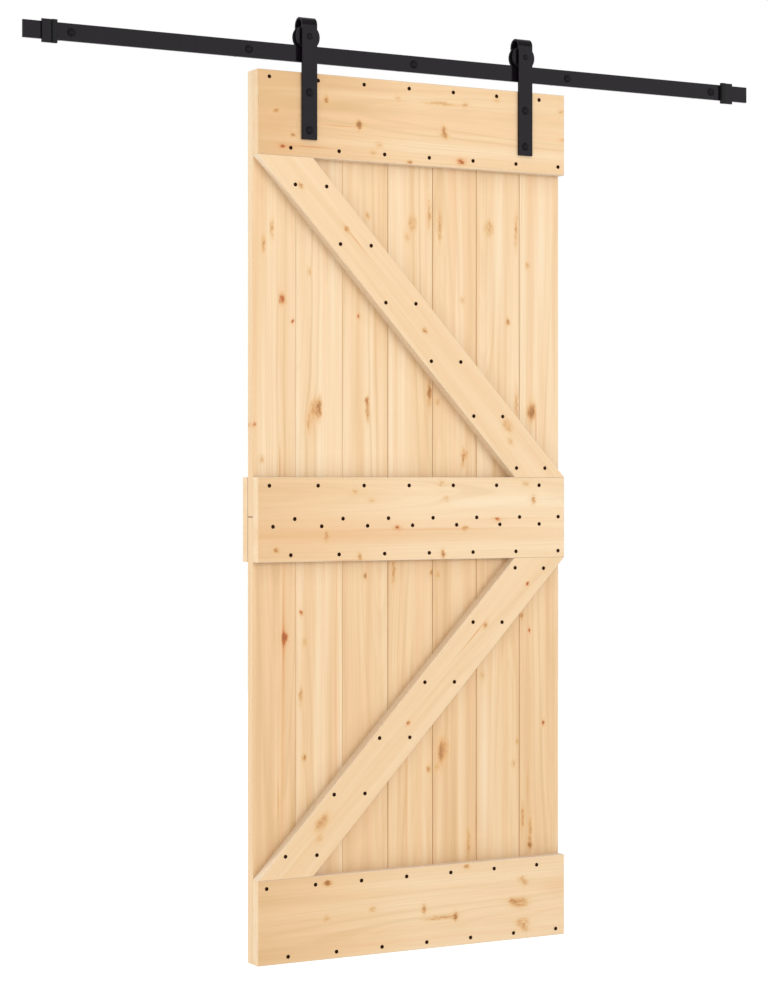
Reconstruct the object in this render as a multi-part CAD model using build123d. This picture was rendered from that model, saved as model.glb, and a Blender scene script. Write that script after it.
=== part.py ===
from build123d import *
import math
import os

# Sliding barn door on a wall track. A ledged and braced pine door hangs from two strap hangers,
# whose grooved rollers run along the top edge of a flat steel bar. All lengths are in millimetres.
# +X runs along the track, +Y points to the wall and +Z is up. The origin lies on the axis of the
# middle wall screw, in the plane of the wall.

# Door
door_width = 850.0
door_height = 2100.0
wall_gap = 6.0
arris = 1.5

# Boards: tongued and grooved, an upper and a lower set that butt behind the middle rail
board_count = 7
board_pitch = 124.5
board_thickness = 28.0
board_offset = -1.25
board_seam_height = 1050.6
board_bevel = 1.0
tight_joint_count = 2
tight_joint_gap = 0.2
open_joint_gap = 1.2
tongue_depth = 7.0
tongue_thickness = 8.0
tongue_clearance = 0.25

# Rails and braces
rail_height = 200.0
rail_thickness = 28.0
middle_rail_height = 944.3
back_rail_thickness = 28.0
brace_width = 106.0

# Track: a flat bar held off the wall by a spacer at each wall screw
track_length = 2000.0
track_height = 40.0
track_thickness = 6.0
track_above_door = 25.5
wall_screw_count = 5
wall_screw_end_distance = 115.0
spacer_diameter = 14.0

# Wall screws
wall_screw_shank_diameter = 8.0
wall_screw_thread_diameter = 7.2
wall_screw_thread_length = 14.0
wall_screw_tip_length = 8.0
wall_screw_tip_diameter = 1.2
wall_screw_head_diameter = 20.0
wall_screw_head_height = 5.5

# Strap hangers: a flat strap bolted to the door, rolled over the roller at its top
hanger_spacing = 600.0
hanger_offset = 8.0
strap_width = 39.6
strap_thickness = 5.0
strap_bottom_below_door_top = 158.6
strap_top_above_axle = 47.2
strap_rear_leg_below_axle = 15.0
strap_inner_gap = 30.0

# Strap bolts, with a washer and a nut on the back of the boards
strap_bolt_diameter = 8.0
strap_bolt_drops = (47.0, 136.5)
strap_bolt_head_diameter = 20.0
strap_bolt_head_height = 5.0
strap_bolt_tail = 3.0
strap_washer_diameter = 24.0
strap_washer_thickness = 2.0
strap_nut_width = 13.0
strap_nut_height = 6.5

# Rollers and their axles
groove_diameter = 39.0
groove_floor_width = 8.0
groove_mouth_width = 13.0
flange_diameter = 62.0
flange_round = 1.8
roller_width = 25.0
roller_web_width = 18.0
hub_diameter = 24.0
rim_inner_diameter = 48.0
bush_diameter = 16.0
bush_overhang = 0.5
axle_diameter = 10.0
axle_head_diameter = 15.0
axle_head_height = 3.5
axle_tail = 3.0
axle_nut_width = 17.0
axle_nut_height = 8.0
axle_washer_diameter = 20.0

# End stops: a steel block on the front of the track, with a rubber bumper at its inner end
left_stop_end_margin = 43.0
right_stop_end_margin = 50.0
stop_block_length = 22.4
stop_block_height = 53.0
stop_block_depth = 5.5
stop_block_round = 0.8
stop_drop = 1.5
bumper_length = 12.5
bumper_depth = 9.5
bumper_edge_round = 2.0
bumper_neck_length = 1.0
bumper_neck_inset = 1.5
set_screw_diameter = 6.0
set_screw_spacing = 24.0
set_screw_cover = 1.5

# Rim left straight under the dome of every bolt head
head_rim_height = 1.0

# Clearances
bolt_clearance = 0.25
wood_bolt_clearance = 0.5
running_clearance = 0.05
rolling_clearance = 0.3
washer_clearance = 0.3
cut_overrun = 1.0

# Planes along Y, from the wall towards the front of the door
back_rail_back_y = -wall_gap
boards_back_y = back_rail_back_y - back_rail_thickness
boards_front_y = boards_back_y - board_thickness
boards_middle_y = (boards_back_y + boards_front_y) / 2
rails_front_y = boards_front_y - rail_thickness
strap_front_y = rails_front_y - strap_thickness
roller_y = rails_front_y + strap_inner_gap / 2
strap_rear_y = rails_front_y + strap_inner_gap + strap_thickness
track_front_y = roller_y - track_thickness / 2
track_back_y = roller_y + track_thickness / 2

# Heights along Z, with the track's middle line at zero
track_top_z = track_height / 2
door_top_z = -track_height / 2 - track_above_door
door_bottom_z = door_top_z - door_height
axle_z = track_top_z + rolling_clearance + groove_diameter / 2
strap_bottom_z = door_top_z - strap_bottom_below_door_top

# Places along X
wall_screw_pitch = (track_length - 2 * wall_screw_end_distance) / (wall_screw_count - 1)
wall_screw_xs = [(i - (wall_screw_count - 1) / 2) * wall_screw_pitch for i in range(wall_screw_count)]
hanger_xs = {
    "left": hanger_offset - hanger_spacing / 2,
    "right": hanger_offset + hanger_spacing / 2,
}
strap_bolt_places = [(x, door_top_z - drop) for x in hanger_xs.values() for drop in strap_bolt_drops]

# Outer end of each stop along X, and the direction from there to the middle of the track
stop_ends = {
    "left": (left_stop_end_margin - track_length / 2, 1),
    "right": (track_length / 2 - right_stop_end_margin, -1),
}
stop_block_xs = {name: end_x + inward * stop_block_length / 2 for name, (end_x, inward) in stop_ends.items()}
set_screw_zs = (-stop_drop - set_screw_spacing / 2, -stop_drop + set_screw_spacing / 2)


def save(name, shape):
    """Writes one node. A list becomes a group of separate solids."""
    if isinstance(shape, list):
        shape = Compound(children=shape)
    export_step(shape, f"parts/{name}.step")


def along_y(shape, x, y, z):
    """Turns a shape made along +Z so that it points along +Y, and sets its origin at x, y, z."""
    return Pos(x, y, z) * Rot(-90, 0, 0) * shape


def rod(diameter, length):
    """A round rod that starts at the origin and runs along +Z."""
    return Cylinder(diameter / 2, length, align=(Align.CENTER, Align.CENTER, Align.MIN))


def ring(outer_diameter, inner_diameter, length):
    """A tube, spacer, bush or washer that starts at the origin and runs along +Z."""
    return extrude(Circle(outer_diameter / 2) - Circle(inner_diameter / 2), length)


def hex_nut(width, hole_diameter, height):
    """A hexagonal nut by its width across flats, from the origin along +Z."""
    outline = RegularPolygon(width / 2, 6, major_radius=False) - Circle(hole_diameter / 2)
    return extrude(outline, height)


def hole_along_y(diameter, x, z, start_y, end_y):
    """A cutting rod along Y that runs past both ends of the hole."""
    return along_y(rod(diameter, end_y - start_y + 2 * cut_overrun), x, start_y - cut_overrun, z)


def turned_bolt(head_diameter, head_height, steps):
    """A dome-headed bolt: its head ends at the origin, and steps gives the shank's (radius, z) corners."""
    end_z = steps[-1][1]
    rim = (head_diameter / 2, -head_rim_height)
    crown = TangentArc((0, -head_height), rim, tangent=(1, 0))
    sides = Polyline(rim, (head_diameter / 2, 0), *steps, (0, end_z), (0, -head_height))
    return revolve(Plane.XZ * make_face([crown, *sides.edges()]), Axis.Z)


def board_section(left, right, has_groove, has_tongue):
    """Cross-section of one board, with eased edges, its groove on the left and its tongue on the right."""
    width = right - left
    section = Pos((left + right) / 2, boards_middle_y) * Rectangle(width, board_thickness)
    section = chamfer(section.vertices(), board_bevel)
    groove_depth = tongue_depth + tongue_clearance
    groove_width = tongue_thickness + 2 * tongue_clearance
    if has_groove:
        groove = Rectangle(groove_depth, groove_width, align=(Align.MIN, Align.CENTER))
        section -= Pos(left, boards_middle_y) * groove
    if has_tongue:
        tongue = Rectangle(tongue_depth, tongue_thickness, align=(Align.MIN, Align.CENTER))
        section += Pos(right, boards_middle_y) * tongue
    return section


def boards():
    """Upper and lower boards by name, drilled for the strap bolts."""
    middle = (board_count - 1) / 2
    joints = [board_offset + (i - middle - 0.5) * board_pitch for i in range(1, board_count)]
    gaps = [tight_joint_gap if i < tight_joint_count else open_joint_gap for i in range(board_count - 1)]
    lefts = [-door_width / 2, *[x + gap / 2 for x, gap in zip(joints, gaps)]]
    rights = [*[x - gap / 2 for x, gap in zip(joints, gaps)], door_width / 2]
    seam_z = door_bottom_z + board_seam_height
    spans = {"lower": (door_bottom_z, seam_z), "upper": (seam_z, door_top_z)}
    drills = [
        hole_along_y(strap_bolt_diameter + 2 * wood_bolt_clearance, x, z, boards_front_y, boards_back_y)
        for x, z in strap_bolt_places
    ]
    made = {}
    for i in range(board_count):
        section = board_section(lefts[i], rights[i], i > 0, i < board_count - 1)
        for place, (low, high) in spans.items():
            board = Pos(0, 0, low) * extrude(section, high - low)
            made[f"board_{place}_{i + 1}"] = board - drills
    return made


def rail(low_z, front_y, thickness, eased_side):
    """A rail across the whole door, with an arris round the face that shows (0 front, -1 back)."""
    place = Pos(0, front_y, low_z)
    body = place * Box(door_width, thickness, rail_height, align=(Align.CENTER, Align.MIN, Align.MIN))
    shown_face = body.faces().sort_by(Axis.Y)[eased_side]
    return chamfer(shown_face.edges(), arris)


def rails():
    """Top, middle and bottom rails on the front, and the middle one's partner on the back."""
    middle_z = door_bottom_z + middle_rail_height
    top = rail(door_top_z - rail_height, rails_front_y, rail_thickness, 0)
    drill_diameter = strap_bolt_diameter + 2 * wood_bolt_clearance
    top -= [hole_along_y(drill_diameter, x, z, rails_front_y, boards_front_y) for x, z in strap_bolt_places]
    return {
        "rail_top": top,
        "rail_middle": rail(middle_z, rails_front_y, rail_thickness, 0),
        "rail_bottom": rail(door_bottom_z, rails_front_y, rail_thickness, 0),
        "rail_back": rail(middle_z, boards_back_y, back_rail_thickness, -1),
    }


def brace_cut(rise):
    """Length of the level cut at each end of a brace that spans the door's width over this rise."""
    a = rise**2 - brace_width**2
    b = door_width * brace_width**2
    c = brace_width**2 * (door_width**2 + rise**2)
    return (math.sqrt(b**2 + a * c) - b) / a


def brace(left_z, right_z):
    """A brace flush with the rails, from a rail's edge on the left to a rail's edge on the right."""
    cut = brace_cut(abs(right_z - left_z))
    half = door_width / 2
    corners = ((-half, left_z), (cut - half, left_z), (half, right_z), (half - cut, right_z))
    outline = Plane((0, rails_front_y, 0), x_dir=(1, 0, 0), z_dir=(0, -1, 0)) * Polygon(*corners, align=None)
    body = extrude(outline, rail_thickness, dir=(0, 1, 0))
    front_edges = body.faces().sort_by(Axis.Y)[0].edges()
    long_edges = front_edges.sort_by(SortBy.LENGTH)[2:]
    return chamfer(long_edges, arris)


def braces():
    middle_z = door_bottom_z + middle_rail_height
    return {
        "brace_upper": brace(door_top_z - rail_height, middle_z + rail_height),
        "brace_lower": brace(door_bottom_z + rail_height, middle_z),
    }


def hanger_strap(x):
    """One strap: a flat front leg rolled over at the top into a short rear leg, with its bolt holes."""
    outer = strap_inner_gap / 2 + strap_thickness
    inner = strap_inner_gap / 2
    bend_z = axle_z + strap_top_above_axle - outer
    rear_z = axle_z - strap_rear_leg_below_axle
    outside = [(roller_y - outer, strap_bottom_z), (roller_y - outer, bend_z)]
    roll_out = TangentArc((roller_y - outer, bend_z), (roller_y + outer, bend_z), tangent=(0, 1))
    rear = [(roller_y + outer, bend_z), (roller_y + outer, rear_z), (roller_y + inner, rear_z)]
    roll_in = TangentArc((roller_y - inner, bend_z), (roller_y + inner, bend_z), tangent=(0, 1))
    front = [(roller_y - inner, bend_z), (roller_y - inner, strap_bottom_z), outside[0]]
    outline = [
        Line(*outside),
        roll_out,
        *Polyline(*rear, (roller_y + inner, bend_z)).edges(),
        roll_in,
        *Polyline(*front).edges(),
    ]
    strap = extrude(Plane.YZ * make_face(outline), strap_width / 2, both=True)
    strap = Pos(x, 0, 0) * strap
    axle_hole = hole_along_y(axle_diameter + 2 * bolt_clearance, x, axle_z, strap_front_y, strap_rear_y)
    bolt_hole_diameter = strap_bolt_diameter + 2 * bolt_clearance
    bolt_holes = [
        hole_along_y(bolt_hole_diameter, x, door_top_z - drop, strap_front_y, rails_front_y)
        for drop in strap_bolt_drops
    ]
    return strap - [axle_hole, *bolt_holes]


def strap_fasteners():
    """Bolts through strap, top rail and boards, each with a washer and a nut on the back."""
    washer_y = boards_back_y
    nut_y = washer_y + strap_washer_thickness
    bolt_length = nut_y + strap_nut_height + strap_bolt_tail - strap_front_y
    radius = strap_bolt_diameter / 2
    steps = [(radius, 0), (radius, bolt_length)]
    bolt = turned_bolt(strap_bolt_head_diameter, strap_bolt_head_height, steps)
    washer = ring(strap_washer_diameter, strap_bolt_diameter + 2 * bolt_clearance, strap_washer_thickness)
    nut = hex_nut(strap_nut_width, strap_bolt_diameter, strap_nut_height)
    return {
        "strap_bolts": [along_y(bolt, x, strap_front_y, z) for x, z in strap_bolt_places],
        "strap_bolt_washers": [along_y(washer, x, washer_y, z) for x, z in strap_bolt_places],
        "strap_bolt_nuts": [along_y(nut, x, nut_y, z) for x, z in strap_bolt_places],
    }


def roller(x):
    """A grooved roller, with a raised hub and a rim whose flanges straddle the track."""
    floor = groove_floor_width / 2
    mouth = groove_mouth_width / 2
    side = roller_width / 2
    web = roller_web_width / 2
    half = [
        (groove_diameter / 2, floor),
        (flange_diameter / 2, mouth),
        (flange_diameter / 2, side),
        (rim_inner_diameter / 2, side),
        (rim_inner_diameter / 2, web),
        (hub_diameter / 2, web),
        (hub_diameter / 2, side),
        (bush_diameter / 2, side),
    ]
    other_half = [(r, -z) for r, z in reversed(half)]
    section = Polygon(*half, *other_half, align=None)
    flange_corners = section.vertices().group_by(Axis.X)[-1]
    section = fillet(flange_corners, flange_round)
    return along_y(revolve(Plane.XZ * section, Axis.Z), x, roller_y, axle_z)


def roller_bush(x):
    """The plain bearing pressed into the roller, a little longer than its hub."""
    length = roller_width + 2 * bush_overhang
    bush = ring(bush_diameter, axle_diameter + 2 * running_clearance, length)
    return along_y(bush, x, roller_y - length / 2, axle_z)


def axle_pieces(side, x):
    """Axle bolt, its nut behind the rear leg, and a thrust washer on each side of the roller."""
    length = strap_rear_y + axle_nut_height + axle_tail - strap_front_y
    radius = axle_diameter / 2
    bolt = turned_bolt(axle_head_diameter, axle_head_height, [(radius, 0), (radius, length)])
    nut = hex_nut(axle_nut_width, axle_diameter, axle_nut_height)
    bush_half = roller_width / 2 + bush_overhang
    thickness = strap_inner_gap / 2 - bush_half - washer_clearance
    washer = ring(axle_washer_diameter, axle_diameter + 2 * bolt_clearance, thickness)
    rear_washer_y = rails_front_y + strap_inner_gap - thickness
    return {
        f"axle_bolt_{side}": along_y(bolt, x, strap_front_y, axle_z),
        f"axle_nut_{side}": along_y(nut, x, strap_rear_y, axle_z),
        f"axle_washers_{side}": [along_y(washer, x, y, axle_z) for y in (rails_front_y, rear_washer_y)],
    }


def track():
    """The flat bar with a clearance hole for each wall screw and a tapped hole for each set screw."""
    bar = Pos(0, roller_y, 0) * Box(track_length, track_thickness, track_height)
    hole_diameter = wall_screw_shank_diameter + 2 * bolt_clearance
    bar -= [hole_along_y(hole_diameter, x, 0, track_front_y, track_back_y) for x in wall_screw_xs]
    return bar - [
        hole_along_y(set_screw_diameter, x, z, track_front_y, track_back_y)
        for x in stop_block_xs.values()
        for z in set_screw_zs
    ]


def wall_screws():
    """Dome-headed wall screws through the track and the spacers, with the thread behind the wall's plane."""
    shank = wall_screw_shank_diameter / 2
    thread = wall_screw_thread_diameter / 2
    tip = wall_screw_tip_diameter / 2
    wall_z = -track_front_y
    thread_end_z = wall_z + wall_screw_thread_length
    steps = [
        (shank, 0),
        (shank, wall_z),
        (thread, wall_z),
        (thread, thread_end_z),
        (tip, thread_end_z + wall_screw_tip_length),
    ]
    screw = turned_bolt(wall_screw_head_diameter, wall_screw_head_height, steps)
    return [along_y(screw, x, track_front_y, 0) for x in wall_screw_xs]


def wall_spacers():
    hole_diameter = wall_screw_shank_diameter + 2 * bolt_clearance
    spacer = ring(spacer_diameter, hole_diameter, -track_back_y)
    return {f"wall_spacer_{i + 1}": along_y(spacer, x, track_back_y, 0) for i, x in enumerate(wall_screw_xs)}


def end_stop(name):
    """Block, set screws and bumper of one end stop. The set screws come through the track from behind."""
    end_x, inward = stop_ends[name]
    block_x = stop_block_xs[name]
    neck_x = end_x + inward * (stop_block_length + bumper_neck_length / 2)
    pad_x = end_x + inward * (stop_block_length + bumper_neck_length + bumper_length / 2)
    against_track = (Align.CENTER, Align.MAX, Align.CENTER)

    block = Box(stop_block_length, stop_block_depth, stop_block_height, align=against_track)
    front_edges = block.faces().sort_by(Axis.Y)[0].edges()
    block = Pos(block_x, track_front_y, -stop_drop) * fillet(front_edges, stop_block_round)
    screw_length = track_thickness + stop_block_depth - set_screw_cover
    screw = rod(set_screw_diameter, screw_length)
    screws = [along_y(screw, block_x, track_back_y - screw_length, z) for z in set_screw_zs]

    pad = Box(bumper_length, bumper_depth, stop_block_height, align=against_track)
    pad = fillet(pad.faces().sort_by(Axis.Y)[0].edges(), bumper_edge_round)
    neck_depth = stop_block_depth - bumper_neck_inset
    neck_height = stop_block_height - 2 * bumper_neck_inset
    neck = Box(bumper_neck_length, neck_depth, neck_height, align=against_track)
    bumper = Pos(pad_x, track_front_y, -stop_drop) * pad + Pos(neck_x, track_front_y, -stop_drop) * neck
    return {
        f"stop_block_{name}": block - screws,
        f"stop_bumper_{name}": bumper,
        f"stop_set_screws_{name}": screws,
    }


def main():
    os.makedirs("parts", exist_ok=True)
    nodes = {"track_bar": track(), "wall_screws": wall_screws(), **wall_spacers()}
    for name in stop_ends:
        nodes.update(end_stop(name))
    nodes.update({**boards(), **rails(), **braces(), **strap_fasteners()})
    for side, x in hanger_xs.items():
        nodes[f"hanger_strap_{side}"] = hanger_strap(x)
        nodes.update(axle_pieces(side, x))
        nodes[f"roller_{side}"] = roller(x)
        nodes[f"roller_bush_{side}"] = roller_bush(x)
    for name, shape in nodes.items():
        save(name, shape)


main()
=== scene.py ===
import math

import bmesh
import bpy
from mathutils import Matrix, Vector


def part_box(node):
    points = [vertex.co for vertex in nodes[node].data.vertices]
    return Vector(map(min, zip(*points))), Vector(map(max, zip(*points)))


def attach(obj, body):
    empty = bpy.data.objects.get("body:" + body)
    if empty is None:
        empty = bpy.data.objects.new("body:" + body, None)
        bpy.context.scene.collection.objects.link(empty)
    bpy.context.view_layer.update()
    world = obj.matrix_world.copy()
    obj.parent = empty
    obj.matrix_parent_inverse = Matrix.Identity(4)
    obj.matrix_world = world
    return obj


# Sliding barn door of planed pine, hung on black strap hangers from a black flat-bar track.
# Blender's lengths are metres. Sizes below are millimetres unless their name or comment says otherwise.
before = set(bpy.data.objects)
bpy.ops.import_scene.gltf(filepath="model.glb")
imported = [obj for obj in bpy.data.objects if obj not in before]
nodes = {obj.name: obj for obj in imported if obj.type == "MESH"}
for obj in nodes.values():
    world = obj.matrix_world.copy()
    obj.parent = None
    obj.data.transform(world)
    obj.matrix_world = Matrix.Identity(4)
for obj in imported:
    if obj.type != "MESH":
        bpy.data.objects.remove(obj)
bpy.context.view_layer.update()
mm = 0.001

# The photograph's camera: level, turned to the right, in front of the door's left side
photo_width_px = 768
photo_height_px = 984
photo_focal_px = 2436.0
photo_middle_px = Vector((383.5, 476.4))
half_pixel = 0.5
camera_turn = math.radians(28.67)
camera_place_m = Vector((-2.898, -5.226, -1.0005))
sensor_width = 36.0

# Stage
floor_drop_m = 0.25
floor_half_size_m = 9.0
floor_tone = "#e4e4e4"
floor_roughness = 0.9
floor_lift = 0.7
white = "#ffffff"
ambient_strength = 0.47

# Studio lamps: name, place and aim in metres, side in metres, power in watts
lamps = [
    ("front_lamp", (-4.0, -12.0, -0.2), (0.0, 0.0, -1.0), 7.0, 570),
    ("key_lamp", (7.8, -14.6, 0.4), (0.0, 0.0, -1.0), 9.0, 740),
    ("left_lamp", (-4.5, 1.3, -0.8), (-0.4, 0.0, -1.0), 2.0, 77),
]

# Timber's patterns: width of a streak across the grain, its length along it, and its detail.
# Fibres are drawn coarser than real ones, so that they show.
streak_patterns = {
    "knot_edge": (8.0, 16.0, 2.0),
    "fleck": (3.5, 9.0, 3.0),
    "wander": (250.0, 620.0, 3.0),
    "plain_zone": (55.0, 1500.0, 1.0),
    "band": (24.0, 1100.0, 2.0),
    "peach": (17.0, 1700.0, 1.0),
    "fibre": (3.0, 170.0, 3.0),
}

# What each pattern's noise becomes as a share of its colour
fleck_range = {"From Min": 0.3, "From Max": 0.7, "To Min": 0.6, "To Max": 1.4}
late_wood_range = {"From Min": 0.45, "From Max": 0.72}
plain_zone_range = {"From Min": 0.4, "From Max": 0.6}
plain_zone_line_share = 0.25
peach_range = {"From Min": 0.5, "From Max": 0.75, "To Max": 0.28}
fibre_range = {"From Min": 0.5, "From Max": 0.8, "To Max": 0.22}
mark_range = {"From Min": 0.03, "From Max": 0.6}

# Year rings about the tree's pith
ring_width = 5.5
ring_detail = 3.0
ring_roughness = 0.6
ring_bend_at_knot = 9.0
pith_depth = 60.0
pith_offset = 70.0
pith_wander = 7.0
pith_tilt = math.radians(2.0)

# Steps that make each piece of timber differ from the next
noise_seed_step = 5.3
offset_seed_step = 2.0
tilt_seed_step = 3.0
lower_board_seed_shift = 0.5

# Timber's colours and surface
bare_wood_tones = [(0.0, "#fdeacc"), (0.35, "#f8dcb4"), (0.65, "#f0cb9c"), (1.0, "#dfb480")]
peach_tone = "#f4c293"
late_wood_tone = "#d5ac70"
fibre_tone = "#d2a570"
# Painted light: faces turned up or down are mixed towards this pale tone by this share, and sawn sides and
# ends keep only this share of the warmth, which lifts their shade
painted_pale_edge_tone = "#f6e9d6"
painted_pale_edge_share = 0.75
painted_pale_side_warmth_share = 0.75
planed_roughness = 0.5
relief_height = 0.1
relief_strength = 0.5
# Painted shade for the corners beside rails and braces: how dark the least open corner gets, how far the test
# for openness looks, and its samples
painted_corner_darkening_tones = [(0.0, "#b4b0ae"), (1.0, white)]
corner_reach = 60.0
corner_samples = 8

# Painted shade: brown lines where pieces of timber meet, standing in for the shade in the seams: width and
# strength
painted_seam_shade_tone = "#6e2800"
butt_seam_shade_line = (2.4, 1.0)
back_rail_seam_shade_line = (3.5, 0.55)

# Warmth of each board from cream at 0 to tan at 1, left to right, and how strongly its grain lines and
# its bands show
boards_in_a_set = 7
upper_board_warmth_shares = (0.55, 0.43, 0.47, 0.52, 0.57, 0.47, 0.46)
lower_board_warmth_shares = (0.74, 0.52, 0.62, 0.65, 0.69, 0.66, 0.65)
board_line_share = 0.36
board_band_share = 1.2

# Warmth of each rail, the painted shade that makes its left end warmer and darker where it catches less
# sheen, and how strongly its grain lines and its bands show
rail_looks = {
    "rail_top": (0.58, 0.5, 0.32, 0.8),
    "rail_middle": (0.43, 0.38, 0.24, 0.6),
    "rail_bottom": (0.45, 0.38, 0.27, 0.6),
    "rail_back": (0.66, 0.0, 0.3, 0.8),
}
brace_look = (0.54, 0.0, 0.18, 0.45)

# Kinds of mark in the timber: colour, half width across the grain, half length along it, depth of colour,
# and how pale its middle is
mark_kinds = {
    "pin_knot": ("orange", 4.2, 5.5, 0.6, 0.0),
    "knot": ("tan", 6.0, 8.0, 0.55, 0.0),
    "red_knot": ("orange", 8.5, 12.0, 0.6, 0.0),
    "ring_knot": ("tan", 9.0, 13.0, 0.44, 0.4),
    "branch_knot": ("tan", 10.0, 18.0, 0.52, 0.3),
    "faint_knot": ("tan", 7.5, 10.0, 0.32, 0.0),
    "spike_knot": ("tan", 12.0, 6.0, 0.5, 0.0),
    "flare": ("tan", 6.5, 26.0, 0.5, 0.0),
    "smear": ("tan", 6.5, 46.0, 0.5, 0.0),
    "pith_line": ("orange", 2.2, 60.0, 0.4, 0.0),
    "stripe": ("orange", 4.5, 320.0, 0.24, 0.0),
    "blush": ("orange", 24.0, 60.0, 0.17, 0.0),
    "broad_band": ("orange", 34.0, 420.0, 0.13, 0.0),
    "resin_line": ("orange", 2.5, 170.0, 0.16, 0.0),
    "sapwood": ("cream", 17.0, 240.0, 0.36, 0.0),
}
smooth_mark_half_length = 50.0
knot_edge_shift = 5.0
knot_halo_width_share = 1.8
knot_halo_length_share = 3.2
knot_halo_depth_share = 0.25

# Colours of the marks by their depth, each painted over the ones before it
mark_colours = {
    "cream": [(0.0, "#fbe3bd"), (1.0, "#fdeed4")],
    "tan": [(0.0, "#efc78e"), (0.35, "#dfa964"), (0.6, "#c78a4a"), (0.85, "#a26b33")],
    "orange": [(0.0, "#f0bd86"), (0.35, "#dc9852"), (0.6, "#c26a20"), (0.85, "#a6551d")],
}

# Where the photograph shows each mark, in its pixels
board_marks = [
    ("flare", 271.5, 227.6), ("flare", 262.9, 243.0), ("red_knot", 281.7, 298.5),
    ("pin_knot", 292.4, 320.8), ("pin_knot", 254.2, 424.4), ("faint_knot", 261.0, 459.0),
    ("pith_line", 279.4, 467.0), ("faint_knot", 309.3, 271.4), ("flare", 319.3, 406.5),
    ("branch_knot", 314.8, 408.9), ("flare", 307.9, 422.8), ("blush", 312.0, 420.0),
    ("faint_knot", 366.9, 215.3), ("pin_knot", 357.7, 316.0), ("knot", 366.6, 400.0),
    ("flare", 367.0, 412.0), ("ring_knot", 412.0, 222.5), ("faint_knot", 406.5, 237.0),
    ("smear", 428.7, 214.0), ("smear", 428.9, 394.0), ("faint_knot", 429.0, 391.0),
    ("faint_knot", 437.4, 402.0), ("smear", 439.3, 226.0), ("faint_knot", 461.8, 299.7),
    ("flare", 462.3, 457.4), ("faint_knot", 466.0, 453.0), ("ring_knot", 488.6, 228.0),
    ("smear", 515.5, 230.0), ("knot", 507.3, 321.7), ("smear", 516.0, 404.0),
    ("faint_knot", 526.7, 265.5), ("branch_knot", 531.1, 411.0), ("faint_knot", 531.1, 411.5),
    ("pith_line", 535.4, 428.0), ("knot", 364.9, 574.9), ("smear", 392.9, 571.1),
    ("pin_knot", 300.4, 611.8), ("red_knot", 284.4, 637.3), ("faint_knot", 304.0, 642.2),
    ("stripe", 283.5, 640.0), ("resin_line", 282.5, 628.0), ("sapwood", 484.0, 766.0),
    ("sapwood", 499.0, 246.0), ("sapwood", 541.0, 244.0), ("stripe", 281.5, 790.0),
    ("pith_line", 277.6, 800.0), ("stripe", 335.3, 690.0), ("knot", 430.9, 572.2),
    ("faint_knot", 437.2, 573.3), ("knot", 520.9, 615.1), ("pin_knot", 528.7, 629.7),
    ("faint_knot", 482.1, 674.7), ("knot", 304.0, 757.3), ("flare", 300.2, 695.5),
    ("branch_knot", 443.4, 747.5), ("flare", 440.0, 753.0), ("blush", 442.0, 756.0),
    ("knot", 428.0, 768.7), ("faint_knot", 435.8, 767.0), ("pin_knot", 542.9, 722.6),
    ("pith_line", 527.4, 785.0), ("faint_knot", 517.1, 741.0), ("faint_knot", 513.3, 762.7),
    ("knot", 528.5, 844.6), ("smear", 529.6, 829.0), ("smear", 522.0, 818.0),
    ("pith_line", 475.4, 823.5), ("smear", 468.0, 845.0), ("stripe", 405.8, 790.0),
]
rail_marks = [
    ("knot", 275.8, 109.8), ("spike_knot", 325.8, 99.5), ("faint_knot", 396.8, 97.9),
    ("spike_knot", 358.9, 124.7), ("knot", 359.2, 124.7), ("pith_line", 340.0, 125.4),
    ("knot", 292.6, 134.2), ("pin_knot", 282.1, 145.8), ("blush", 288.0, 147.0),
    ("pith_line", 315.0, 146.8), ("faint_knot", 378.9, 144.2), ("faint_knot", 372.6, 152.0),
    ("faint_knot", 465.0, 104.3), ("smear", 440.0, 103.0), ("faint_knot", 496.5, 99.4),
    ("spike_knot", 443.0, 130.0), ("faint_knot", 445.0, 136.0), ("knot", 409.2, 161.7),
    ("red_knot", 460.7, 161.2), ("faint_knot", 561.0, 111.3), ("faint_knot", 562.0, 140.0),
    ("blush", 272.0, 124.0), ("broad_band", 300.0, 535.0), ("broad_band", 420.0, 535.0),
    ("sapwood", 512.0, 501.0), ("faint_knot", 355.0, 491.0), ("faint_knot", 371.0, 500.0),
    ("spike_knot", 326.0, 535.7), ("knot", 275.5, 550.0), ("spike_knot", 359.3, 557.0),
    ("pith_line", 346.0, 560.0), ("pin_knot", 397.0, 527.0), ("faint_knot", 440.7, 482.5),
    ("faint_knot", 445.6, 498.7), ("faint_knot", 525.3, 483.0), ("spike_knot", 532.9, 499.3),
    ("pin_knot", 497.1, 518.3), ("resin_line", 516.0, 517.8), ("knot", 464.5, 527.5),
    ("resin_line", 445.0, 528.5), ("spike_knot", 442.3, 553.5), ("faint_knot", 326.5, 918.1),
    ("faint_knot", 372.3, 908.9), ("knot", 326.9, 882.4), ("faint_knot", 327.6, 883.0),
    ("spike_knot", 423.5, 908.3), ("smear", 440.1, 917.2), ("spike_knot", 454.8, 915.9),
    ("branch_knot", 520.0, 902.0), ("faint_knot", 511.2, 899.7), ("ring_knot", 522.0, 921.9),
    ("faint_knot", 524.7, 929.0), ("blush", 557.3, 884.5), ("faint_knot", 520.9, 878.0),
    ("faint_knot", 524.7, 882.3), ("knot", 466.2, 866.0),
]
brace_marks = [
    ("knot", 300.0, 184.7), ("knot", 346.0, 228.6), ("pith_line", 354.0, 238.0),
    ("knot", 424.7, 330.3), ("ring_knot", 506.7, 424.9), ("faint_knot", 510.0, 440.6),
    ("pin_knot", 526.9, 583.1), ("knot", 484.6, 624.8), ("pith_line", 475.0, 633.0),
    ("pin_knot", 408.1, 722.8), ("branch_knot", 321.3, 821.8), ("faint_knot", 319.1, 838.0),
]

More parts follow.
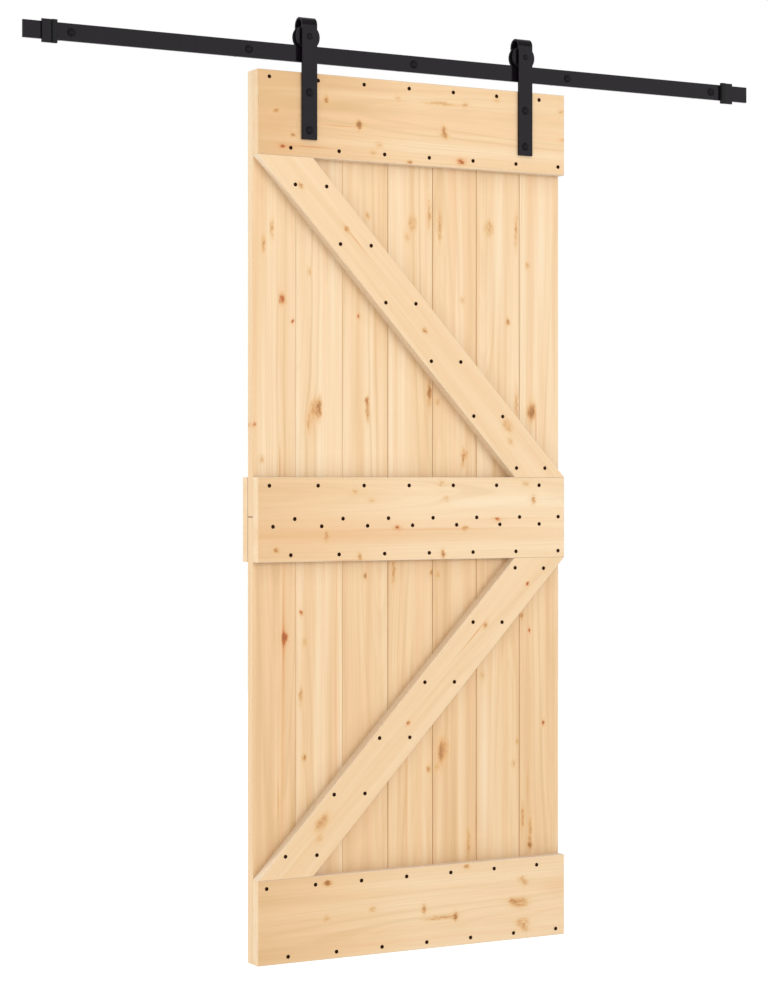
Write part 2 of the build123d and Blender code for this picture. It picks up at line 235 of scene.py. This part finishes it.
# Wood screws: black countersunk heads, two to a board on each row of a rail
screw_head_diameter = 9.8
screw_head_proud = 0.7
screw_rim_depth = 0.05
screw_cone_depth = 2.4
screw_recess_depth = 0.45
screw_slot_length = 4.6
screw_slot_width = 1.3
screw_shoulder_share = 0.8
screw_crown_share = 0.85
screw_tip_share = 0.45
screw_recess_share = 0.6
screw_segments = 24
screw_pitch = 123.5
screw_pair_spacing = 56.0
first_screw_x = -395.6
second_screw_x = -267.2
last_left_screw_x = 350.6
last_right_screw_x = 406.8

# Rows of screws: which half of the pairs, height above the door's bottom edge, and shift along X
screw_rows = [
    ("left", 2083.4, 0.0),
    ("right", 1919.8, 0.0),
    ("left", 1124.3, 0.0),
    ("right", 1045.7, 10.5),
    ("left", 1028.0, 9.4),
    ("right", 960.6, 0.0),
    ("left", 180.0, -7.0),
    ("right", 16.2, -7.0),
]

# Pairs of screws in the braces: middle of each pair along X, and its height above the door's bottom edge
brace_screw_half_spacing = 41.5
upper_brace_screws = [(-286, 1834), (-166, 1699), (-43, 1564), (83, 1426), (203, 1294), (326, 1167)]
lower_brace_screw_drop = 2.5
lower_brace_screws = [(322, 920), (201, 789), (65, 647), (-60, 518), (-183, 390), (-312, 252)]


def linear(hex_colour):
    """An sRGB hex colour as linear red, green, blue and alpha."""
    shares = [int(hex_colour[i : i + 2], 16) / 255 for i in (1, 3, 5)]
    values = [s / 12.92 if s <= 0.04045 else ((s + 0.055) / 1.055) ** 2.4 for s in shares]
    return (*values, 1.0)


def add(tree, kind, inputs=None, output=None, stops=None, **settings):
    """Adds a node with its settings, ramp stops, and a link or value for each input; returns one output."""
    made = tree.nodes.new(kind)
    for name, value in settings.items():
        setattr(made, name, value)
    for name, value in (inputs or {}).items():
        named = [s for i, s in enumerate(made.inputs) if name in (i, s.name) and s.enabled]
        if isinstance(value, bpy.types.NodeSocket):
            tree.links.new(value, named[0])
        else:
            named[0].default_value = value
    if stops:
        elements = made.color_ramp.elements
        while len(elements) < len(stops):
            elements.new(1.0)
        for element, (place, colour) in zip(elements, stops):
            element.position = place
            element.color = linear(colour)
    found = [s for s in made.outputs if s.enabled and output in (None, s.name)]
    return found[0] if found else None


def new_finish(name):
    """A material with an empty node tree."""
    material = bpy.data.materials.new(name)
    material.use_nodes = True
    material.node_tree.nodes.clear()
    return material


def end_finish(material, **inputs):
    """Ends a material's node tree in a Principled shader with these inputs."""
    tree = material.node_tree
    sockets = {name.replace("_", " "): value for name, value in inputs.items()}
    shader = add(tree, "ShaderNodeBsdfPrincipled", sockets)
    add(tree, "ShaderNodeOutputMaterial", {"Surface": shader})
    return material


def photo_point(across_px, down_px, plane_y_m):
    """The point that a pixel of the photograph shows on an upright plane, in millimetres along X and Z."""
    side = (across_px - photo_middle_px.x) / photo_focal_px
    rise = (photo_middle_px.y - down_px) / photo_focal_px
    ahead = Vector((math.sin(camera_turn), math.cos(camera_turn), 0))
    right = Vector((math.cos(camera_turn), -math.sin(camera_turn), 0))
    ray = ahead + right * side + Vector((0, 0, rise))
    point = camera_place_m + ray * ((plane_y_m - camera_place_m.y) / ray.y)
    return point.x / mm, point.z / mm


def marks_on(node, marks):
    """The marks that fall on a piece of timber, as kind, X and Z in millimetres."""
    low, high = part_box(node)
    found = []
    for kind, across_px, down_px in marks:
        x, z = photo_point(across_px, down_px, low.y)
        if low.x <= x * mm <= high.x and low.z <= z * mm <= high.z:
            found.append((kind, x, z))
    return found


def mark_shapes(marks):
    """Rough and smooth shapes of marks: colour, X, Z, half width, half length, depth and paleness.

    A knot also has a wide faint halo. Short shapes are rough, long ones are smooth.
    """
    rough, smooth = [], []
    for kind, x, z in marks:
        colour, width, length, depth, hollow = mark_kinds[kind]
        sizes = [(width, length, depth, hollow)]
        if "knot" in kind:
            halo_width = width * knot_halo_width_share
            halo_length = length * knot_halo_length_share
            sizes.append((halo_width, halo_length, depth * knot_halo_depth_share, 0.0))
        for half_width, half_length, shape_depth, paleness in sizes:
            shapes = rough if half_length < smooth_mark_half_length else smooth
            shapes.append((colour, x, z, half_width, half_length, shape_depth, paleness))
    return rough, smooth


def grain_slope(node):
    """Angle of a piece's long axis above the level, from the middles of its lowest and highest ends."""
    points = [v.co for v in nodes[node].data.vertices]
    low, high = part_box(node)
    bottom = [p.x for p in points if p.z < low.z + mm]
    top = [p.x for p in points if p.z > high.z - mm]
    run = (max(top) + min(top) - max(bottom) - min(bottom)) / 2
    return math.atan2(high.z - low.z, run)


def pine(node, slope, look, marks, seed, joint=None):
    """Pine, sawn and planed, left bare: pale cream to honey, with darker late wood in each year's ring.

    The eye sees soft uneven lines along the grain, bands of warmer tone, and orange to brown knots.
    A joint is an axis, a place along it in metres, and the width and strength of the brown line of painted
    seam shade there.
    """
    warmth, painted_left_shade, line_share, band_share = look
    material = new_finish(f"pine_planed_{node}")
    tree = material.node_tree
    turn = slope - math.pi / 2
    low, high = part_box(node)

    # Millimetres across the grain, through the thickness and along the grain
    place = add(tree, "ShaderNodeTexCoord", output="Object")
    turned = add(tree, "ShaderNodeVectorRotate", {"Vector": place, "Angle": turn}, rotation_type="Y_AXIS")
    grain = add(tree, "ShaderNodeVectorMath", {0: turned, "Scale": 1 / mm}, operation="SCALE")

    def across_and_along(x, z):
        """Where a point of the door is across the grain and along it."""
        return x * math.cos(turn) + z * math.sin(turn), z * math.cos(turn) - x * math.sin(turn)

    def streaks(pattern, output=None):
        """Soft noise drawn out along the grain, at the sizes of one pattern."""
        width, length, detail = streak_patterns[pattern]
        scale = (1 / width, 1 / width, 1 / length)
        drawn_out = add(tree, "ShaderNodeVectorMath", {0: grain, 1: scale}, operation="MULTIPLY")
        noise_seed = seed * noise_seed_step + width
        sockets = {"Vector": drawn_out, "W": noise_seed, "Scale": 1.0, "Detail": detail}
        return add(tree, "ShaderNodeTexNoise", sockets, output, noise_dimensions="4D")

    # Marks: knots and streaks, with their outlines roughened
    edge_noise = streaks("knot_edge", "Color")
    edge_reach = Vector((2 * knot_edge_shift, 0, 2 * knot_edge_shift))
    sockets = {0: edge_noise, 1: edge_reach, 2: -edge_reach / 2}
    edge_shift = add(tree, "ShaderNodeVectorMath", sockets, operation="MULTIPLY_ADD")
    rough_grain = add(tree, "ShaderNodeVectorMath", {0: grain, 1: edge_shift}, operation="ADD")
    depths = {colour: 0.0 for colour in mark_colours}

    def deepen(shapes, outline):
        """Adds marks to the depth of their colours, each fading out from its middle or from a ring."""
        for colour, x, z, half_width, half_length, depth, hollow in shapes:
            across, along = across_and_along(x, z)
            scale = Vector((1 / half_width, 0, 1 / half_length))
            offset = Vector((-across / half_width, 0, -along / half_length))
            sockets = {0: outline, 1: scale, 2: offset}
            away = add(tree, "ShaderNodeVectorMath", sockets, operation="MULTIPLY_ADD")
            square = add(tree, "ShaderNodeVectorMath", {0: away, 1: away}, operation="DOT_PRODUCT")
            fade = add(tree, "ShaderNodeMath", {0: math.exp(-1), 1: square}, operation="POWER")
            swell = {0: square, 1: hollow * math.e * depth, 2: (1 - hollow) * depth}
            ring = add(tree, "ShaderNodeMath", swell, operation="MULTIPLY_ADD")
            sockets = {0: fade, 1: ring, 2: depths[colour]}
            depths[colour] = add(tree, "ShaderNodeMath", sockets, operation="MULTIPLY_ADD")

    # Knots are flecked and have rough outlines; long lines run straight and smooth
    rough_marks, smooth_marks = mark_shapes(marks)
    deepen(rough_marks, rough_grain)
    fleck = streaks("fleck")
    fleck_share = add(tree, "ShaderNodeMapRange", {"Value": fleck, **fleck_range})
    for colour, depth in depths.items():
        depths[colour] = add(tree, "ShaderNodeMath", {0: depth, 1: fleck_share}, operation="MULTIPLY")
    deepen(smooth_marks, grain)

    # Year rings of uneven width about a pith that lies behind the face and wanders along the piece
    middle = (low + high) / 2 / mm
    pith_x, pith_z = across_and_along(middle.x, middle.z)
    pith_x += pith_offset * math.sin(seed * offset_seed_step)
    pith = Vector((pith_x, middle.y + pith_depth, pith_z))
    slow_noise = streaks("wander", "Color")
    sockets = {0: slow_noise, 1: (2 * pith_wander, 2 * pith_wander, 0), 2: -pith}
    wander = add(tree, "ShaderNodeVectorMath", sockets, operation="MULTIPLY_ADD")
    from_pith = add(tree, "ShaderNodeVectorMath", {0: grain, 1: wander}, operation="ADD")
    tilt = {"Vector": from_pith, "Angle": pith_tilt * math.sin(seed * tilt_seed_step)}
    tilted = add(tree, "ShaderNodeVectorRotate", tilt, rotation_type="X_AXIS")
    flat = add(tree, "ShaderNodeVectorMath", {0: tilted, 1: (1.0, 1.0, 0.0)}, operation="MULTIPLY")
    radius = add(tree, "ShaderNodeVectorMath", {0: flat}, operation="LENGTH")
    bent = radius
    for depth in depths.values():
        sockets = {0: depth, 1: ring_bend_at_knot, 2: bent}
        bent = add(tree, "ShaderNodeMath", sockets, operation="MULTIPLY_ADD")
    years = add(tree, "ShaderNodeMath", {0: bent, 1: ring_width}, operation="DIVIDE")
    sockets = {"W": years, "Scale": 1.0, "Detail": ring_detail, "Roughness": ring_roughness}
    year_noise = add(tree, "ShaderNodeTexNoise", sockets, noise_dimensions="1D")
    late_wood = add(tree, "ShaderNodeMapRange", {"Value": year_noise, **late_wood_range})
    zone = streaks("plain_zone")
    line_shares = {"To Min": line_share * plain_zone_line_share, "To Max": line_share}
    zone_share = add(tree, "ShaderNodeMapRange", {"Value": zone, **plain_zone_range, **line_shares})
    late_share = add(tree, "ShaderNodeMath", {0: late_wood, 1: zone_share}, operation="MULTIPLY")

    # Bands of warmer tone along the grain; painted shade that makes a rail's left end warmer and darker,
    # where it catches less sheen; and sawn sides and ends painted less warm and so paler, lifting their shade
    band = streaks("band")
    sockets = {0: band, 1: band_share, 2: warmth - band_share / 2}
    band_warmth = add(tree, "ShaderNodeMath", sockets, operation="MULTIPLY_ADD")
    # Painted shade: a rail's planed faces grow warmer and darker towards its left end
    along_door = add(tree, "ShaderNodeSeparateXYZ", {"Vector": place}, "X")
    painted_left_shade_range = {"From Min": low.x, "From Max": 0.0, "To Min": painted_left_shade, "To Max": 0.0}
    painted_left_shade_warmth = add(tree, "ShaderNodeMapRange", {"Value": along_door, **painted_left_shade_range})
    # Painted light: sawn sides and ends are painted less warm, and faces turned up or down paler, by which
    # way each face points
    facing = add(tree, "ShaderNodeNewGeometry", output="Normal")
    facing_parts = add(tree, "ShaderNodeSeparateXYZ", {"Vector": facing}).node.outputs
    planed = add(tree, "ShaderNodeMath", {0: facing_parts["Y"]}, operation="ABSOLUTE")
    facing_up_or_down = add(tree, "ShaderNodeMath", {0: facing_parts["Z"]}, operation="ABSOLUTE")
    painted_pale_edge_mask = add(tree, "ShaderNodeMath", {0: facing_up_or_down, 1: painted_pale_edge_share}, operation="MULTIPLY")
    painted_pale_side_share = add(tree, "ShaderNodeMapRange", {"Value": planed, "To Min": painted_pale_side_warmth_share})
    face_warmth = add(tree, "ShaderNodeMath", {0: band_warmth, 1: painted_pale_side_share}, operation="MULTIPLY")
    sockets = {0: painted_left_shade_warmth, 1: planed, 2: face_warmth}
    tone = add(tree, "ShaderNodeMath", sockets, operation="MULTIPLY_ADD")
    bare_colour = add(tree, "ShaderNodeValToRGB", {"Fac": tone}, stops=bare_wood_tones)
    peach = streaks("peach")
    peach_share = add(tree, "ShaderNodeMapRange", {"Value": peach, **peach_range})
    sockets = {"Factor": peach_share, "A": bare_colour, "B": linear(peach_tone)}
    warm_colour = add(tree, "ShaderNodeMix", sockets, data_type="RGBA")

    # Late wood and fibres darken the colour
    sockets = {"Factor": late_share, "A": warm_colour, "B": linear(late_wood_tone)}
    ringed = add(tree, "ShaderNodeMix", sockets, data_type="RGBA")
    fibre = streaks("fibre")
    fibre_share = add(tree, "ShaderNodeMapRange", {"Value": fibre, **fibre_range})
    sockets = {"Factor": fibre_share, "A": ringed, "B": linear(fibre_tone)}
    fibred = add(tree, "ShaderNodeMix", sockets, data_type="RGBA")

    # Pale sapwood, then knots and lines that go from a pale edge to a brown heart
    marked = fibred
    for colour, depth in depths.items():
        mark_colour = add(tree, "ShaderNodeValToRGB", {"Fac": depth}, stops=mark_colours[colour])
        mark_share = add(tree, "ShaderNodeMapRange", {"Value": depth, **mark_range})
        sockets = {"Factor": mark_share, "A": marked, "B": mark_colour}
        marked = add(tree, "ShaderNodeMix", sockets, data_type="RGBA")

    # Painted light: faces turned up or down are painted paler than planed faces, lifting their shade
    sockets = {"Factor": painted_pale_edge_mask, "A": marked, "B": linear(painted_pale_edge_tone)}
    sawn = add(tree, "ShaderNodeMix", sockets, data_type="RGBA")

    # Painted shade: a brown line where the piece meets another, standing in for the shade in the seam
    if joint:
        axis, joint_place_m, (line_width, line_strength) = joint
        along_axis = add(tree, "ShaderNodeSeparateXYZ", {"Vector": place}, axis)
        past_joint = add(tree, "ShaderNodeMath", {0: along_axis, 1: joint_place_m}, operation="SUBTRACT")
        from_joint = add(tree, "ShaderNodeMath", {0: past_joint}, operation="ABSOLUTE")
        fading = {"From Min": 0.0, "From Max": line_width * mm, "To Min": line_strength, "To Max": 0.0}
        seam_shade_share = add(tree, "ShaderNodeMapRange", {"Value": from_joint, **fading})
        sockets = {"Factor": seam_shade_share, "A": sawn, "B": linear(painted_seam_shade_tone)}
        sawn = add(tree, "ShaderNodeMix", sockets, data_type="RGBA")

    # Painted shade in the corners beside rails and braces: planed faces are darkened where little of the
    # space around them is open
    corner = {"Distance": corner_reach * mm}
    openness = add(tree, "ShaderNodeAmbientOcclusion", corner, "AO", samples=corner_samples)
    painted_corner_shade = add(tree, "ShaderNodeValToRGB", {"Fac": openness}, stops=painted_corner_darkening_tones)
    sockets = {"Factor": planed, "A": sawn, "B": painted_corner_shade}
    shaded = add(tree, "ShaderNodeMix", sockets, data_type="RGBA", blend_type="MULTIPLY")

    # Late wood and fibres stand a little proud
    relief = add(tree, "ShaderNodeMath", {0: late_share, 1: fibre}, operation="ADD")
    sockets = {"Height": relief, "Strength": relief_strength, "Distance": relief_height * mm}
    bump = add(tree, "ShaderNodeBump", sockets)
    return end_finish(material, Base_Color=shaded, Roughness=planed_roughness, Normal=bump)


def mottled(name, size, detail, tones, gloss=None, relief=None, **inputs):
    """A finish whose colour follows soft mottling of a real size in millimetres.

    gloss is its least and most roughness, and relief the strength and height of its bump.
    """
    material = new_finish(name)
    tree = material.node_tree
    place = add(tree, "ShaderNodeTexCoord", output="Object")
    sockets = {"Vector": place, "Scale": 1 / (size * mm), "Detail": detail}
    mottle = add(tree, "ShaderNodeTexNoise", sockets)
    inputs["Base_Color"] = add(tree, "ShaderNodeValToRGB", {"Fac": mottle}, stops=tones)
    if gloss:
        least, most = gloss
        sockets = {"Value": mottle, "To Min": least, "To Max": most}
        inputs["Roughness"] = add(tree, "ShaderNodeMapRange", sockets)
    if relief:
        strength, height = relief
        sockets = {"Height": mottle, "Strength": strength, "Distance": height * mm}
        inputs["Normal"] = add(tree, "ShaderNodeBump", sockets)
    return end_finish(material, **inputs)


def powder_coat():
    """Black polyester powder, sprayed and baked on steel: near black, smooth, with a fine orange peel."""
    return mottled(
        "powder_coat_black_baked",
        size=1.6,
        detail=2.0,
        tones=[(0.35, "#141015"), (0.65, "#1a151b")],
        gloss=(0.1, 0.16),
        relief=(0.4, 0.08),
        Specular_IOR_Level=0.068,
    )


def black_zinc():
    """Steel fasteners, turned or pressed, then zinc plated and blackened: dark, with a dull sheen."""
    return mottled(
        "steel_black_zinc_plated",
        size=2.5,
        detail=3.0,
        tones=[(0.35, "#0c0a0b"), (0.65, "#131013")],
        gloss=(0.35, 0.5),
        Specular_IOR_Level=0.1,
    )


def phosphate():
    """Hardened steel wood screws, phosphated and oiled: dull brown black."""
    return mottled(
        "steel_screws_phosphated",
        size=2.0,
        detail=3.0,
        tones=[(0.35, "#261206"), (0.65, "#331a08")],
        gloss=(0.5, 0.65),
        Specular_IOR_Level=0.04,
    )


def rubber():
    """Black rubber, moulded: matt, with a faint grey bloom."""
    return mottled(
        "rubber_black_moulded",
        size=6.0,
        detail=4.0,
        tones=[(0.4, "#0c0c0d"), (0.75, "#161617")],
        relief=(0.3, 0.1),
        Roughness=0.75,
        Specular_IOR_Level=0.25,
    )


def bronze():
    """Sintered bronze, pressed and oiled: dull gold brown, with fine pores."""
    return mottled(
        "bronze_sintered_oiled",
        size=1.2,
        detail=3.0,
        tones=[(0.35, "#7d5f38"), (0.65, "#b08d57")],
        relief=(0.4, 0.05),
        Roughness=0.4,
        Metallic=1.0,
    )


def dress(node, material):
    """Gives a CAD node its finish."""
    mesh = nodes[node].data
    mesh.materials.clear()
    mesh.materials.append(material)


def dress_timber():
    """One finish for each board, rail and brace, so that no two have the same grain."""
    level = 0.0
    upright = math.pi / 2
    butt_seam_shade = ("Z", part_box("board_upper_1")[0].z, butt_seam_shade_line)
    board_sets = [("upper", upper_board_warmth_shares, 0.0)]
    board_sets.append(("lower", lower_board_warmth_shares, lower_board_seed_shift))
    for i in range(boards_in_a_set):
        for place, shares, seed_shift in board_sets:
            node = f"board_{place}_{i + 1}"
            look = (shares[i], 0.0, board_line_share, board_band_share)
            marks = marks_on(node, board_marks)
            dress(node, pine(node, upright, look, marks, i + 1 + seed_shift, butt_seam_shade))
    for i, (node, look) in enumerate(rail_looks.items()):
        marks = marks_on(node, rail_marks)
        joint = None
        if node == "rail_back":
            marks = []
            joint = ("Y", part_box(node)[0].y, back_rail_seam_shade_line)
        dress(node, pine(node, level, look, marks, boards_in_a_set + 1 + i, joint))
    for i, node in enumerate(("brace_upper", "brace_lower")):
        seed = boards_in_a_set + len(rail_looks) + 1 + i
        dress(node, pine(node, grain_slope(node), brace_look, marks_on(node, brace_marks), seed))


def dress_hardware():
    """Powder coat on track, stops, straps and rollers; black zinc on fasteners; rubber and bronze."""
    coat, zinc, pad, bush = powder_coat(), black_zinc(), rubber(), bronze()
    finish_by_start = {
        "track_bar": coat,
        "wall_spacer": coat,
        "stop_block": coat,
        "hanger_strap": coat,
        "roller_bush": bush,
        "roller": coat,
        "stop_bumper": pad,
        "stop_set_screws": zinc,
        "wall_screws": zinc,
        "strap_bolt": zinc,
        "axle": zinc,
    }
    for node in nodes:
        starts = [start for start in finish_by_start if node.startswith(start)]
        if starts:
            dress(node, finish_by_start[max(starts, key=len)])


def screw_places():
    """Middle of each wood screw's head on the front of the rails and braces, in metres."""
    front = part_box("rail_top")[0].y
    door_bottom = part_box("rail_bottom")[0].z
    lefts = [first_screw_x]
    lefts += [second_screw_x + i * screw_pitch for i in range(boards_in_a_set - 1)]
    spots = []
    for half, height, shift in screw_rows:
        extra, limit = (0.0, last_left_screw_x)
        if half == "right":
            extra, limit = (screw_pair_spacing, last_right_screw_x)
        spots += [(min(x + extra + shift, limit), height) for x in lefts]
    for pairs, drop in ((upper_brace_screws, 0.0), (lower_brace_screws, lower_brace_screw_drop)):
        for x, height in pairs:
            spots.append((x - brace_screw_half_spacing, height))
            spots.append((x + brace_screw_half_spacing, height - drop))
    return [Vector((x * mm, front, door_bottom + height * mm)) for x, height in spots]


def screw_head(bm, place):
    """Adds one countersunk head with a cross recess to a mesh, facing -Y."""
    radius = screw_head_diameter / 2
    arm = screw_slot_length / 2
    side = screw_slot_width / 2
    start = -2 * math.pi / screw_segments
    angles = [start + 2 * math.pi * i / screw_segments for i in range(screw_segments)]
    circle = [Vector((math.cos(a), 0, math.sin(a))) for a in angles]
    corner = [Vector((arm, 0, -side)), Vector((arm, 0, side)), Vector((side, 0, side))]
    quarters = [Matrix.Rotation(-i * math.pi / 2, 3, "Y") for i in range(4)]
    cross = [turn @ point for turn in quarters for point in corner]

    def loop(outline, scale, depth):
        """An outline's points at a scale and a depth below the front."""
        return [bm.verts.new(place + (point * scale + Vector((0, depth, 0))) * mm) for point in outline]

    def band(one, other):
        """Faces between two loops."""
        for i in range(len(one)):
            bm.faces.new((one[i - 1], one[i], other[i], other[i - 1]))

    tip = loop(circle, radius * screw_tip_share, screw_cone_depth)
    rim = loop(circle, radius, screw_rim_depth)
    shoulder = loop(circle, radius * screw_shoulder_share, -screw_head_proud * screw_crown_share)
    mouth = loop(cross, 1.0, -screw_head_proud)
    floor = loop(cross, screw_recess_share, screw_recess_depth - screw_head_proud)
    band(tip, rim)
    band(rim, shoulder)
    band(mouth, floor)
    bm.faces.new(tip)
    bm.faces.new(floor)
    steps = screw_segments // len(cross)
    for i in range(len(cross)):
        outer = [shoulder[(i * steps + j) % screw_segments] for j in range(steps + 1)]
        bm.faces.new((mouth[i], *outer, mouth[(i + 1) % len(cross)]))


def wood_screws():
    """All wood screws as one piece on the door."""
    bm = bmesh.new()
    for place in screw_places():
        screw_head(bm, place)
    bmesh.ops.recalc_face_normals(bm, faces=bm.faces)
    mesh = bpy.data.meshes.new("wood_screws")
    bm.to_mesh(mesh)
    bm.free()
    mesh.materials.append(phosphate())
    screws = bpy.data.objects.new("wood_screws", mesh)
    bpy.context.scene.collection.objects.link(screws)
    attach(screws, "door")


def shown_ray(tree):
    """1 on rays that show the background: camera, glossy and transmission rays."""
    rays = add(tree, "ShaderNodeLightPath").node.outputs
    sockets = {0: rays["Is Camera Ray"], 1: rays["Is Glossy Ray"]}
    some = add(tree, "ShaderNodeMath", sockets, operation="ADD")
    sockets = {0: some, 1: rays["Is Transmission Ray"]}
    return add(tree, "ShaderNodeMath", sockets, operation="ADD", use_clamp=True)


def stage_floor():
    """A plain floor of matt white paper below the door, lifted to white where the camera sees it unshaded."""
    material = new_finish("floor_white_paper")
    tree = material.node_tree
    lift = add(tree, "ShaderNodeMath", {0: shown_ray(tree), 1: floor_lift}, operation="MULTIPLY")
    end_finish(
        material,
        Base_Color=linear(floor_tone),
        Roughness=floor_roughness,
        Emission_Color=linear(white),
        Emission_Strength=lift,
    )
    bm = bmesh.new()
    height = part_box("rail_bottom")[0].z - floor_drop_m
    bmesh.ops.create_grid(bm, size=floor_half_size_m, matrix=Matrix.Translation((0, 0, height)))
    mesh = bpy.data.meshes.new("floor")
    bm.to_mesh(mesh)
    bm.free()
    mesh.materials.append(material)
    floor = bpy.data.objects.new("floor", mesh)
    bpy.context.scene.collection.objects.link(floor)


def soft_box(name, place, aim, size, power):
    """A square studio lamp at a place, aimed at a point."""
    lamp = bpy.data.lights.new(name, "AREA")
    lamp.size = size
    lamp.energy = power
    holder = bpy.data.objects.new(name, lamp)
    holder.location = place
    holder.rotation_euler = (Vector(aim) - Vector(place)).to_track_quat("-Z", "Y").to_euler()
    bpy.context.scene.collection.objects.link(holder)


def light():
    """A white surround, wide soft boxes at front left and front right, and a small one behind on the left."""
    world = bpy.data.worlds.new("white_surround")
    world.use_nodes = True
    bpy.context.scene.world = world
    tree = world.node_tree
    tree.nodes.clear()
    sockets = {"Value": shown_ray(tree), "To Min": ambient_strength, "To Max": 1.0}
    strength = add(tree, "ShaderNodeMapRange", sockets)
    surround = add(tree, "ShaderNodeBackground", {"Color": linear(white), "Strength": strength})
    add(tree, "ShaderNodeOutputWorld", {"Surface": surround})
    for lamp in lamps:
        soft_box(*lamp)


def camera():
    """The photograph's view."""
    lens = bpy.data.cameras.new("photo_camera")
    lens.sensor_width = sensor_width
    lens.lens = photo_focal_px / photo_height_px * sensor_width
    lens.shift_x = (photo_width_px / 2 - photo_middle_px.x - half_pixel) / photo_height_px
    lens.shift_y = (photo_middle_px.y + half_pixel - photo_height_px / 2) / photo_height_px
    holder = bpy.data.objects.new("photo_camera", lens)
    holder.location = camera_place_m
    holder.rotation_euler = (math.pi / 2, 0, -camera_turn)
    bpy.context.scene.collection.objects.link(holder)
    bpy.context.scene.camera = holder


dress_timber()
dress_hardware()
wood_screws()
stage_floor()
light()
camera()
bpy.context.scene.view_settings.view_transform = "Standard"
